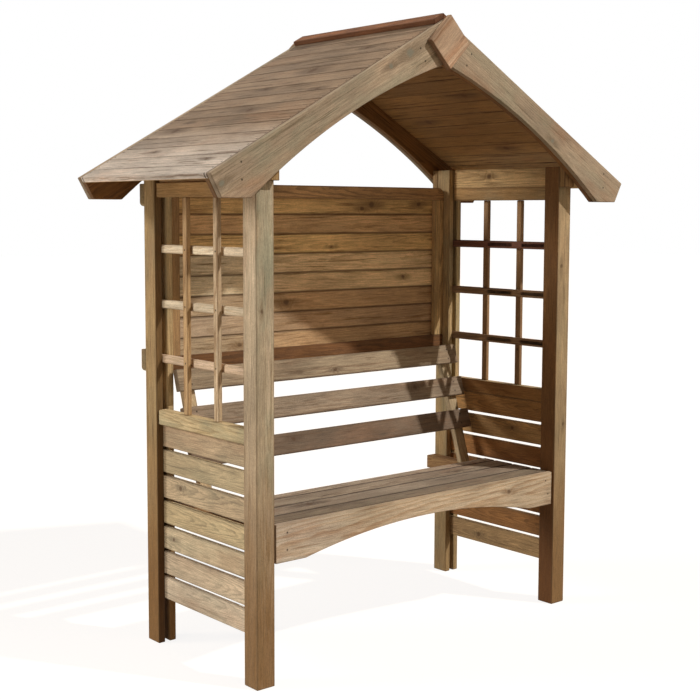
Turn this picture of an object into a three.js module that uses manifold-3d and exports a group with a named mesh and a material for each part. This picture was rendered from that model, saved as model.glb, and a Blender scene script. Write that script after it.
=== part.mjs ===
// Arbour seat in treated softwood: a bench for two under a boarded, arched gable roof.
// Millimetres. +X is to the right of someone facing the seat, +Y to the back, +Z up.
// The origin is on the ground, midway between the sides and between the two gables.
import * as THREE from 'three';
import Module from 'manifold-3d';
import { mergeVertices } from 'three/addons/utils/BufferGeometryUtils.js';

// Fits and edges
const fit = 0.3;               // clearance wherever one piece seats on another
const arris = 1.5;             // chamfer on every sawn edge

// Frame
const frameWidth = 1264;       // over the outer faces of the posts
const frameDepth = 558;        // front face of the posts to back face of the legs
const postSide = 60;
const postHeight = 1440;
const legThickness = 22;       // each rear leg is two boards that are as wide as a post with their gap
const legDepth = 60;

// Side panels
const slatCount = 7;
const slatWidth = 67;
const slatGap = 10;
const lowestSlatHeight = 135;
const slatEndSetback = 5;      // slats stop this far inside the back of the legs
const sideRailHeight = 45;     // rail between the slats and the trellis
const sideRailWidth = 32;
const topRailHeight = 42;
const plateHeight = 65;        // roof plate standing on the top rail
const plateThickness = 22;

// Trellis
const battenThickness = 13;     // of the upright battens
const levelBattenCount = 3;
const levelBattenHeight = 25;
const uprightBattenCount = 2;
const uprightBattenWidth = 22;
const battenHousing = 1;       // depth that the uprights are let into the level battens

// Back panel
const backFrameDrop = 63;      // top of the panel below the tops of the posts
const backFrameHeight = 560;
const backFrameMember = 42;    // face width of its rails and stiles
const backFrameThickness = 18;
const backFrameCorner = 25;    // radius of its two top corners
const boardCover = 62.6;       // face width of one matched board
const boardGroove = 2.5;       // V joint between two matched boards
const backBoardThickness = 16;
const backBoardFootLap = 29.4; // from the frame's lower edge up to the lowest board
const backBoardTopLap = 29.8;  // from the highest board up to the frame's top
const rearRailHeight = 66;
const rearRailThickness = 24;
const rearRailCorner = 12;     // radius of its two lower corners

// Seat
const bearerTop = 424;
const bearerHeight = 45;
const bearerWidth = 42;
const bearerEndSetback = 2;
const seatBoardThickness = 22;
const frontSeatBoardWidth = 68;
const rearSeatBoardWidth = 48; // the boards between these two share the rest of the seat
const seatBoardGap = 3;
const seatRearGap = 57.6;      // from the rear board to the feet of the backrest
const apronThickness = 20;
const apronSetback = 3;        // behind the front faces of the posts
const apronDepth = 108;        // at its ends, below the seat's surface
const apronEndGap = 6;         // between the apron and each post
const apronStraightEnd = 105;
const apronRise = 51;

// Backrest
const backrestLean = THREE.MathUtils.degToRad(17.5);
const backrestClearance = 6.9; // between the top slat and the legs behind it
const supportWidth = 40;
const supportThickness = 21;
const supportInset = 25;       // in from each end of the slats
const supportTopSetback = 8;   // below the top slat's upper edge
const backSlatCount = 3;
const backSlatWidth = 65;
const backSlatGap = 50;
const backSlatThickness = 20;
const backSlatFoot = 122;      // along the supports, up to the lowest slat
const backSlatReach = 8;       // the slats run this far past the inner faces of the posts

// Roof
const roofOverhang = 184;      // level distance from the posts out to the eaves
const roofLift = 50.8;         // surface of the boards above the posts, at their outer faces
const roofSlope = THREE.MathUtils.degToRad(29.2);
const roofBoardThickness = 17;
const ridgeBoardWidth = 73;    // the top board of each slope, wider than the rest
const roofBoardEndGap = 2;     // between the ends of the boards and the gable boards
const blockWidth = 45;         // packing blocks between the frame and the rafters
const blockHeight = 66;
const blockThickness = 24;
const rafterThickness = 18;
const gableBoardThickness = 18;
const gableEndCut = 70;        // square cut at the foot of a gable board
const gableLevelCut = 92;      // level stretch of its lower edge
const archCrownDrop = 128;     // apex of the roof down to the crown of the arch
const archBow = 38;            // rise of each curved edge above its chord
const diamondSide = 110;
const diamondThickness = 18;
const diamondDrop = 68;        // its centre below the apex of the roof
const ridgeCapWidth = 36;
const ridgeCapThickness = 15;
const ridgeCapSetback = 14;    // in from the faces of the gable boards

// Smoothness of curved edges
const cornerSteps = 6;
const curveSteps = 20;

// Faces that several groups share
const halfWidth = frameWidth / 2;
const postInner = halfWidth - postSide;
const outerLegInner = halfWidth - legThickness;
const innerLegOuter = postInner + legThickness;
const postFront = -frameDepth / 2;
const postBack = postFront + postSide;
const legBack = frameDepth / 2;
const legFront = legBack - legDepth;
const slatPitch = slatWidth + slatGap;
const slatsTop = lowestSlatHeight + (slatCount - 1) * slatPitch + slatWidth;
const sideInner = innerLegOuter + fit;
const blockFoot = postHeight - blockHeight;
const seatTop = bearerTop + fit + seatBoardThickness;

const arbour = new THREE.Group();
const wasm = await Module();
wasm.setup();

function wood(colour, roughness) {
  return new THREE.MeshStandardMaterial({ color: colour, roughness, metalness: 0 });
}

// Extrudes an outline with its arrises taken off, between two places along the local Z axis.
function sawn(outline, low, high, steps = curveSteps) {
  const drawn = outline instanceof THREE.Shape;
  const shape = drawn ? outline : new THREE.Shape(outline.map(([u, v]) => new THREE.Vector2(u, v)));
  const geometry = new THREE.ExtrudeGeometry(shape, {
    depth: high - low - 2 * arris,
    bevelThickness: arris,
    bevelSize: arris,
    bevelOffset: -arris,
    bevelSegments: 1,
    curveSegments: steps,
  });
  geometry.translate(0, 0, low + arris);
  return geometry;
}

function addMesh(name, material, geometry, group = arbour) {
  const mesh = new THREE.Mesh(geometry, material);
  mesh.name = name;
  group.add(mesh);
  return mesh;
}

const turns = {
  x: new THREE.Matrix4().makeBasis(
    new THREE.Vector3(0, 1, 0), new THREE.Vector3(0, 0, 1), new THREE.Vector3(1, 0, 0)),
  y: new THREE.Matrix4().makeBasis(
    new THREE.Vector3(1, 0, 0), new THREE.Vector3(0, 0, 1), new THREE.Vector3(0, -1, 0)),
  z: new THREE.Matrix4(),
};

function chamfered([uLow, uHigh], [vLow, vHigh]) {
  return [
    [uLow + arris, vLow], [uHigh - arris, vLow], [uHigh, vLow + arris], [uHigh, vHigh - arris],
    [uHigh - arris, vHigh], [uLow + arris, vHigh], [uLow, vHigh - arris], [uLow, vLow + arris],
  ];
}

// A straight timber that runs along one axis; x, y and z are each [low, high].
function timber(name, material, along, x, y, z, group = arbour) {
  let geometry;
  if (along === 'x') geometry = sawn(chamfered(y, z), x[0], x[1]);
  if (along === 'y') geometry = sawn(chamfered(x, z), -y[1], -y[0]);
  if (along === 'z') geometry = sawn(chamfered(x, y), z[0], z[1]);
  const mesh = addMesh(name, material, geometry, group);
  mesh.quaternion.setFromRotationMatrix(turns[along]);
  return mesh;
}

// A board with an outline drawn in x and z, seen from the front.
function faceBoard(name, material, outline, y, steps) {
  const mesh = addMesh(name, material, sawn(outline, -y[1], -y[0], steps));
  mesh.quaternion.setFromRotationMatrix(turns.y);
  return mesh;
}

function mirrored([low, high], side) {
  return side > 0 ? [low, high] : [-high, -low];
}

// Places of the joints between matched boards, from the first one up to near the end of the last board.
function boardJoints(first, end) {
  const joints = [];
  for (let at = first; at < end - 2 * boardGroove; at += boardCover) {
    joints.push(at);
  }
  return joints;
}

// Outline of matched boards laid side by side, with a V joint on both faces at each joint.
function matchedBoards(start, end, joints, thickness) {
  const face = [];
  const back = [];
  for (const at of joints) {
    face.push([at - boardGroove, 0], [at, -boardGroove], [at + boardGroove, 0]);
    back.push([at - boardGroove, -thickness], [at, boardGroove - thickness], [at + boardGroove, -thickness]);
  }
  return [start.face, ...face, end.face, end.back, ...back.reverse(), start.back];
}

function toManifold(geometry) {
  const bare = geometry.clone();
  bare.deleteAttribute('normal');
  bare.deleteAttribute('uv');
  const merged = mergeVertices(bare);
  return new wasm.Manifold(new wasm.Mesh({
    numProp: 3,
    vertProperties: new Float32Array(merged.attributes.position.array),
    triVerts: new Uint32Array(merged.index.array),
  }));
}

function fromManifold(solid) {
  const { vertProperties, triVerts } = solid.getMesh();
  const geometry = new THREE.BufferGeometry();
  geometry.setAttribute('position', new THREE.BufferAttribute(vertProperties, 3));
  geometry.setIndex(new THREE.BufferAttribute(triVerts, 1));
  const flat = geometry.toNonIndexed();
  flat.computeVertexNormals();
  return flat;
}

const sides = [['left', -1], ['right', 1]];
const ends = [['front', -1], ['rear', 1]];

// Posts and legs: square posts in front, and behind them legs of two boards with a gap between.
for (const [hand, side] of sides) {
  timber(`front_post_${hand}`, wood(0xa89468, 0.85), 'z',
    mirrored([postInner, halfWidth], side), [postFront, postBack], [0, postHeight]);
  timber(`rear_leg_outer_${hand}`, wood(0xa8905f, 0.85), 'z',
    mirrored([outerLegInner, halfWidth], side), [legFront, legBack], [0, postHeight]);
  timber(`rear_leg_inner_${hand}`, wood(0xa08558, 0.85), 'z',
    mirrored([postInner, innerLegOuter], side), [legFront, legBack], [0, postHeight]);
}

// Side panels: slats butt on the post and run into the gap of the leg, with a rail above them.
const slatOuter = outerLegInner - fit;
const railOuter = sideInner + sideRailWidth;
const sideRailFoot = slatsTop + fit;
const sideRailTop = sideRailFoot + sideRailHeight;
const plateFoot = postHeight - plateHeight;
const topRailFoot = plateFoot - topRailHeight;
const railRun = [postBack + fit, legFront - fit];
for (const [hand, side] of sides) {
  for (let i = 0; i < slatCount; i += 1) {
    const foot = lowestSlatHeight + i * slatPitch;
    timber(`side_slat_${hand}_${i + 1}`, wood(0xb59d72, 0.85), 'y',
      mirrored([sideInner, slatOuter], side),
      [railRun[0], legBack - slatEndSetback], [foot, foot + slatWidth]);
  }
  timber(`side_rail_${hand}`, wood(0xaf9b70, 0.85), 'y',
    mirrored([sideInner, railOuter], side), railRun, [sideRailFoot, sideRailTop]);
  const plateOuter = sideInner + plateThickness;
  const headOutline = [
    [sideInner, topRailFoot], [railOuter, topRailFoot], [railOuter, plateFoot],
    [plateOuter, plateFoot], [plateOuter, postHeight], [sideInner, postHeight],
  ];
  faceBoard(`head_rail_${hand}`, wood(0x94794e, 0.85), headOutline.map(([x, z]) => [side * x, z]), railRun);
}

// Trellis: level battens run into the gap of the leg, with upright battens planted on their outer faces.
const uprightRise = [sideRailTop + fit, topRailFoot - fit];
const levelGap = (topRailFoot - sideRailTop - levelBattenCount * levelBattenHeight) / (levelBattenCount + 1);
const uprightGap = (legFront - postBack - uprightBattenCount * uprightBattenWidth) / (uprightBattenCount + 1);
for (const [hand, side] of sides) {
  let lattice = null;
  const join = (outline, low, high, turn) => {
    const piece = toManifold(sawn(outline, low, high).applyMatrix4(turn));
    lattice = lattice ? lattice.add(piece) : piece;
  };
  for (let i = 0; i < uprightBattenCount; i += 1) {
    const front = postBack + (i + 1) * uprightGap + i * uprightBattenWidth;
    const reach = mirrored([slatOuter - battenHousing, slatOuter + battenThickness], side);
    join(chamfered(reach, [front, front + uprightBattenWidth]), uprightRise[0], uprightRise[1], turns.z);
  }
  for (let i = 0; i < levelBattenCount; i += 1) {
    const foot = sideRailTop + (i + 1) * levelGap + i * levelBattenHeight;
    const reach = mirrored([sideInner, slatOuter], side);
    join(chamfered(reach, [foot, foot + levelBattenHeight]), slatEndSetback - legBack, -railRun[0], turns.y);
  }
  addMesh(`trellis_${hand}`, wood(0xc0a878, 0.85), fromManifold(lattice));
}

// Back panel: matched boards behind a frame, between the legs, with two rails across the backs of the legs.
const boardsBack = legBack;
const boardsFront = boardsBack - backBoardThickness;
const backFrameBack = boardsFront - fit;
const panelHalf = postInner - fit;
const backFrameTop = postHeight - backFrameDrop;
const backFrameFoot = backFrameTop - backFrameHeight;
const backFrame = new THREE.Shape();
backFrame.moveTo(-panelHalf, backFrameFoot);
backFrame.lineTo(panelHalf, backFrameFoot);
backFrame.lineTo(panelHalf, backFrameTop - backFrameCorner);
backFrame.absarc(panelHalf - backFrameCorner, backFrameTop - backFrameCorner, backFrameCorner,
  0, Math.PI / 2);
backFrame.absarc(backFrameCorner - panelHalf, backFrameTop - backFrameCorner, backFrameCorner,
  Math.PI / 2, Math.PI);
backFrame.closePath();
const openingHalf = panelHalf - backFrameMember;
const openingFoot = backFrameFoot + backFrameMember;
const openingTop = backFrameTop - backFrameMember;
const frameOpening = new THREE.Path();
frameOpening.moveTo(-openingHalf, openingFoot);
frameOpening.lineTo(-openingHalf, openingTop);
frameOpening.lineTo(openingHalf, openingTop);
frameOpening.lineTo(openingHalf, openingFoot);
frameOpening.closePath();
backFrame.holes.push(frameOpening);
faceBoard('back_frame', wood(0x8a6a42, 0.85), backFrame,
  [backFrameBack - backFrameThickness, backFrameBack], cornerSteps);

const backBoardFoot = backFrameFoot + backBoardFootLap;
const backBoardTop = backFrameTop - backBoardTopLap;
const backBoardOutline = matchedBoards(
  { face: [backBoardFoot, 0], back: [backBoardFoot, -backBoardThickness] },
  { face: [backBoardTop, 0], back: [backBoardTop, -backBoardThickness] },
  boardJoints(backBoardFoot + boardCover, backBoardTop), backBoardThickness);
const backBoards = addMesh('back_boards', wood(0x9a7b4e, 0.85),
  sawn(backBoardOutline.map(([height, depth]) => [boardsFront - depth, height]), -panelHalf, panelHalf));
backBoards.quaternion.setFromRotationMatrix(turns.x);

const rearRailFront = legBack + fit;
for (const [level, foot] of [['lower', backFrameFoot], ['upper', blockFoot - fit - rearRailHeight]]) {
  const rail = new THREE.Shape();
  const top = foot + rearRailHeight;
  rail.moveTo(halfWidth, foot + rearRailCorner);
  rail.lineTo(halfWidth, top);
  rail.lineTo(-halfWidth, top);
  rail.absarc(rearRailCorner - halfWidth, foot + rearRailCorner, rearRailCorner, Math.PI, 1.5 * Math.PI);
  rail.absarc(halfWidth - rearRailCorner, foot + rearRailCorner, rearRailCorner, 1.5 * Math.PI, 2 * Math.PI);
  rail.closePath();
  faceBoard(`rear_rail_${level}`, wood(0xa08a5e, 0.85), rail,
    [rearRailFront, rearRailFront + rearRailThickness], cornerSteps);
}

// Seat: two bearers fixed to the posts and legs, boards across them, and an arched apron in front.
const apronFront = postFront + apronSetback;
const apronBack = apronFront + apronThickness;
for (const [hand, side] of sides) {
  timber(`seat_bearer_${hand}`, wood(0x8c6238, 0.85), 'y',
    mirrored([postInner - fit - bearerWidth, postInner - fit], side),
    [apronBack + fit, legBack - bearerEndSetback], [bearerTop - bearerHeight, bearerTop]);
}
const backSlatPitch = backSlatWidth + backSlatGap;
const backSlatsTop = backSlatFoot + (backSlatCount - 1) * backSlatPitch + backSlatWidth;
const backrestReach = backSlatsTop * Math.sin(backrestLean) - fit * Math.cos(backrestLean);
const backrestFoot = legFront - backrestClearance - backrestReach;
const seatDepth = backrestFoot - seatRearGap - apronBack - fit;
const middleSeatBoards = ['second', 'third'];
const middleSeatBoardWidth = (seatDepth - frontSeatBoardWidth - rearSeatBoardWidth
  - (middleSeatBoards.length + 1) * seatBoardGap) / middleSeatBoards.length;
const seatBoards = [
  ['front', frontSeatBoardWidth],
  ...middleSeatBoards.map((place) => [place, middleSeatBoardWidth]),
  ['rear', rearSeatBoardWidth],
];
let boardFront = apronBack + fit;
for (const [place, width] of seatBoards) {
  timber(`seat_board_${place}`, wood(0x9f8c74, 0.85), 'x', [fit - postInner, postInner - fit],
    [boardFront, boardFront + width], [bearerTop + fit, seatTop]);
  boardFront += width + seatBoardGap;
}
const apronHalf = postInner - apronEndGap;
const apronFoot = seatTop - apronDepth;
const archFoot = apronHalf - apronStraightEnd;
const apron = new THREE.Shape();
apron.moveTo(-apronHalf, apronFoot);
apron.lineTo(-archFoot, apronFoot);
apron.quadraticCurveTo(0, apronFoot + 2 * apronRise, archFoot, apronFoot);
apron.lineTo(apronHalf, apronFoot);
apron.lineTo(apronHalf, seatTop);
apron.lineTo(-apronHalf, seatTop);
apron.closePath();
faceBoard('seat_apron', wood(0xb79d72, 0.85), apron, [apronFront, apronBack]);

// Backrest: two supports stand on the bearers and lean back, with three slats across their faces.
const backrest = new THREE.Group();
backrest.position.set(0, backrestFoot, bearerTop);
backrest.rotation.x = -backrestLean;
arbour.add(backrest);
const backSlatHalf = postInner + backSlatReach;
for (const [hand, side] of sides) {
  const footFront = fit / Math.cos(backrestLean);
  const footBack = footFront + supportThickness * Math.tan(backrestLean);
  const head = backSlatsTop - supportTopSetback;
  const outline = [[0, footFront], [supportThickness, footBack], [supportThickness, head], [0, head]];
  const outer = backSlatHalf - supportInset;
  const width = mirrored([outer - supportWidth, outer], side);
  const support = addMesh(`back_support_${hand}`, wood(0xa58d63, 0.85),
    sawn(outline, width[0], width[1]), backrest);
  support.quaternion.setFromRotationMatrix(turns.x);
}
for (let i = 0; i < backSlatCount; i += 1) {
  const foot = backSlatFoot + i * backSlatPitch;
  timber(`back_slat_${i + 1}`, wood(0xb09a76, 0.85), 'x', [-backSlatHalf, backSlatHalf],
    [-fit - backSlatThickness, -fit], [foot, foot + backSlatWidth], backrest);
}

// Roof. A place on a slope is its distance down from the apex and its height above the boards.
const apexHeight = postHeight + roofLift + halfWidth * Math.tan(roofSlope);
const slopeLength = (halfWidth + roofOverhang) / Math.cos(roofSlope);
function onSlope(side, down, above) {
  return [
    side * (down * Math.cos(roofSlope) + above * Math.sin(roofSlope)),
    apexHeight - down * Math.sin(roofSlope) + above * Math.cos(roofSlope),
  ];
}
// Distance down the slope at which a surface at this height meets the plumb cut at the apex.
function atPlumbCut(above) {
  return (fit / 2 - above * Math.sin(roofSlope)) / Math.cos(roofSlope);
}

// Outline of a gable board or rafter whose upper edge is at a height above the boards' surface.
function gableOutline(side, above) {
  const [heelX, heelZ] = onSlope(side, slopeLength, -gableEndCut);
  const levelEnd = heelX - side * gableLevelCut;
  const crownX = side * fit / 2;
  const crownZ = apexHeight - archCrownDrop;
  const chord = Math.hypot(levelEnd - crownX, crownZ - heelZ);
  const bowX = (levelEnd + crownX) / 2 + side * 2 * archBow * (crownZ - heelZ) / chord;
  const bowZ = (heelZ + crownZ) / 2 + 2 * archBow * Math.abs(levelEnd - crownX) / chord;
  const shape = new THREE.Shape();
  shape.moveTo(...onSlope(side, atPlumbCut(above), above));
  shape.lineTo(...onSlope(side, slopeLength, above));
  shape.lineTo(heelX, heelZ);
  shape.lineTo(levelEnd, heelZ);
  shape.quadraticCurveTo(bowX, bowZ, crownX, crownZ);
  shape.closePath();
  return shape;
}

// Packing blocks, rafters, gable boards and diamonds, from the frame outwards at both gables.
const packedFace = frameDepth / 2 + fit + blockThickness;
const rafterFace = packedFace + fit + rafterThickness;
const gableFace = rafterFace + fit + gableBoardThickness;
const diamondFace = gableFace + fit + diamondThickness;
for (const [end, way] of ends) {
  for (const [hand, side] of sides) {
    timber(`roof_block_${end}_${hand}`, wood(0xa08858, 0.85), 'z',
      mirrored([postInner, postInner + blockWidth], side),
      mirrored([packedFace - blockThickness, packedFace], way), [blockFoot, postHeight]);
    faceBoard(`rafter_${end}_${hand}`, wood(0x7d5f3a, 0.85),
      gableOutline(side, -roofBoardThickness - fit),
      mirrored([rafterFace - rafterThickness, rafterFace], way));
    faceBoard(`gable_board_${end}_${hand}`, wood(0xae9a72, 0.85),
      gableOutline(side, 0), mirrored([gableFace - gableBoardThickness, gableFace], way));
  }
  const centre = apexHeight - diamondDrop;
  const corner = diamondSide / Math.SQRT2;
  faceBoard(`gable_diamond_${end}`, wood(0xb8946a, 0.85),
    [[0, centre - corner], [corner, centre], [0, centre + corner], [-corner, centre]],
    mirrored([diamondFace - diamondThickness, diamondFace], way));
}

// Roof boards between the gable boards, on the rafters, and a cap along each side of the ridge.
const boardsReach = gableFace - gableBoardThickness - roofBoardEndGap;
const capReach = gableFace - ridgeCapSetback;
const roofBoardOutline = matchedBoards(
  { face: [atPlumbCut(0), 0], back: [atPlumbCut(-roofBoardThickness), -roofBoardThickness] },
  { face: [slopeLength, 0], back: [slopeLength, -roofBoardThickness] },
  boardJoints(ridgeBoardWidth, slopeLength), roofBoardThickness);
for (const [hand, side] of sides) {
  faceBoard(`roof_boards_${hand}`, wood(0x9f8d70, 0.85),
    roofBoardOutline.map(([down, above]) => onSlope(side, down, above)), [-boardsReach, boardsReach]);
  const capTop = fit + ridgeCapThickness;
  const capOutline = [
    [atPlumbCut(fit), fit], [ridgeCapWidth, fit], [ridgeCapWidth, capTop], [atPlumbCut(capTop), capTop],
  ];
  faceBoard(`ridge_cap_${hand}`, wood(0xa0683c, 0.85),
    capOutline.map(([down, above]) => onSlope(side, down, above)), [-capReach, capReach]);
}

export default arbour;
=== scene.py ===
import math
import random

import bpy
from mathutils import Matrix, Vector


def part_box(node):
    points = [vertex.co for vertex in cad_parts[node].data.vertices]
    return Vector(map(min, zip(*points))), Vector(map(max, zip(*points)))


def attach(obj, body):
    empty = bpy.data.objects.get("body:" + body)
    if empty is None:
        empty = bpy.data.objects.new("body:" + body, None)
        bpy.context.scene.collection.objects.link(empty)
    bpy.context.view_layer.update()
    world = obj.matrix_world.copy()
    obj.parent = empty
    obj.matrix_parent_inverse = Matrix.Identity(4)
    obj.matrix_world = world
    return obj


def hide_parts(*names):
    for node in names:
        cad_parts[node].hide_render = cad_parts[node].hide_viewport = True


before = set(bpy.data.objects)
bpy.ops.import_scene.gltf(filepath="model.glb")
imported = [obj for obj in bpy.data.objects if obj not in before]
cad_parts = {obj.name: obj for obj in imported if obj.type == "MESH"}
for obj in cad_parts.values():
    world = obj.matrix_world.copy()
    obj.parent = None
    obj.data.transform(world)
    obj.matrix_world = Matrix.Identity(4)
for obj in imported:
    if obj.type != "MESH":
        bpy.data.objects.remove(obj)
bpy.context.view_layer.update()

# Front posts: two square posts of planed softwood, pressure treated, greener on their front faces
# and browner towards the feet. The four long edges are eased. Everything else is screwed to
# them and to the rear legs.
chance = random.Random(29)


def take_hold(timber):
    """Selects one timber alone."""
    bpy.ops.object.select_all(action="DESELECT")
    timber.select_set(True)
    bpy.context.view_layer.objects.active = timber


def sawn_square(name, low, high):
    """A squared timber between two opposite corners."""
    bpy.ops.object.select_all(action="DESELECT")
    low, high = Vector(low), Vector(high)
    bpy.ops.mesh.primitive_cube_add(size=1, location=(low + high) / 2, scale=high - low)
    timber = bpy.context.object
    timber.name = timber.data.name = name
    bpy.ops.object.transform_apply(location=True, rotation=True, scale=True)
    return timber


def ease_edges(timber, radius, steps=3):
    """Rounds every sharp edge a little, as planing and sanding do, and keeps the faces flat."""
    take_hold(timber)
    bpy.ops.object.mode_set(mode="EDIT")
    bpy.ops.mesh.select_mode(type="EDGE")
    bpy.ops.mesh.select_all(action="DESELECT")
    bpy.ops.mesh.edges_select_sharp(sharpness=math.radians(25))
    bpy.ops.mesh.bevel(offset=radius, segments=steps, profile=0.5, affect="EDGES")
    bpy.ops.object.mode_set(mode="OBJECT")
    bpy.ops.object.shade_smooth_by_angle(angle=math.radians(40))
    flat = timber.modifiers.new("flat_faces", "WEIGHTED_NORMAL")
    flat.keep_sharp = True
    bpy.ops.object.modifier_apply(modifier=flat.name)


def round_edges(timber, radius, steps, chosen):
    """Rounds only the edges whose middle point the given test picks. One step makes a chamfer."""
    take_hold(timber)
    bpy.ops.object.mode_set(mode="EDIT")
    bpy.ops.mesh.select_mode(type="EDGE")
    bpy.ops.mesh.select_all(action="DESELECT")
    bpy.ops.object.mode_set(mode="OBJECT")
    points = timber.data.vertices
    for edge in timber.data.edges:
        edge.select = chosen((points[edge.vertices[0]].co + points[edge.vertices[1]].co) / 2)
    bpy.ops.object.mode_set(mode="EDIT")
    bpy.ops.mesh.bevel(offset=radius, segments=steps, profile=0.5, affect="EDGES")
    bpy.ops.object.mode_set(mode="OBJECT")


def paint(red, green, blue):
    """A colour picked in ordinary screen values, as a shader wants it."""
    screen = [value / 255 for value in (red, green, blue)]
    return tuple(v / 12.92 if v <= 0.04 else ((v + 0.055) / 1.055) ** 2.4 for v in screen) + (1.0,)


def wire(tree, kind, feeds=(), **settings):
    """One shader node: feeds are pairs of a socket and a value or another node's output."""
    made = tree.nodes.new(kind)
    for setting, value in settings.items():
        setattr(made, setting, value)
    for socket, value in feeds:
        if isinstance(value, bpy.types.NodeSocket):
            tree.links.new(value, made.inputs[socket])
        else:
            made.inputs[socket].default_value = value
    return made.outputs[0] if made.outputs else None


def figure(tree, operation, *values):
    """A sum of plain numbers."""
    return wire(tree, "ShaderNodeMath", list(enumerate(values)), operation=operation)


def vector(tree, operation, *values):
    """A sum of places."""
    return wire(tree, "ShaderNodeVectorMath", list(enumerate(values)), operation=operation)


def ramp(tree, value, low, high, start=0.0, end=1.0):
    """Fades from start to end as the value goes from low to high."""
    feeds = [("Value", value), ("From Min", low), ("From Max", high), ("To Min", start), ("To Max", end)]
    return wire(tree, "ShaderNodeMapRange", feeds, interpolation_type="SMOOTHSTEP")


def mottle(tree, place, scale, detail=2.0, roughness=0.5):
    """Noise, as its value; its colour is the node's other output."""
    feeds = [("Vector", place), ("Scale", scale), ("Detail", detail), ("Roughness", roughness)]
    return wire(tree, "ShaderNodeTexNoise", feeds)


def tint(tree, share, under, over, how="MIX"):
    """Lays a share of one colour over another."""
    feeds = [(0, share), (6, under), (7, over)]
    return wire(tree, "ShaderNodeMix", feeds, data_type="RGBA", blend_type=how).node.outputs[2]


def darker(colour, share):
    """A share of a colour, as paint."""
    return paint(*[min(255, value * share) for value in colour])


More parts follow.
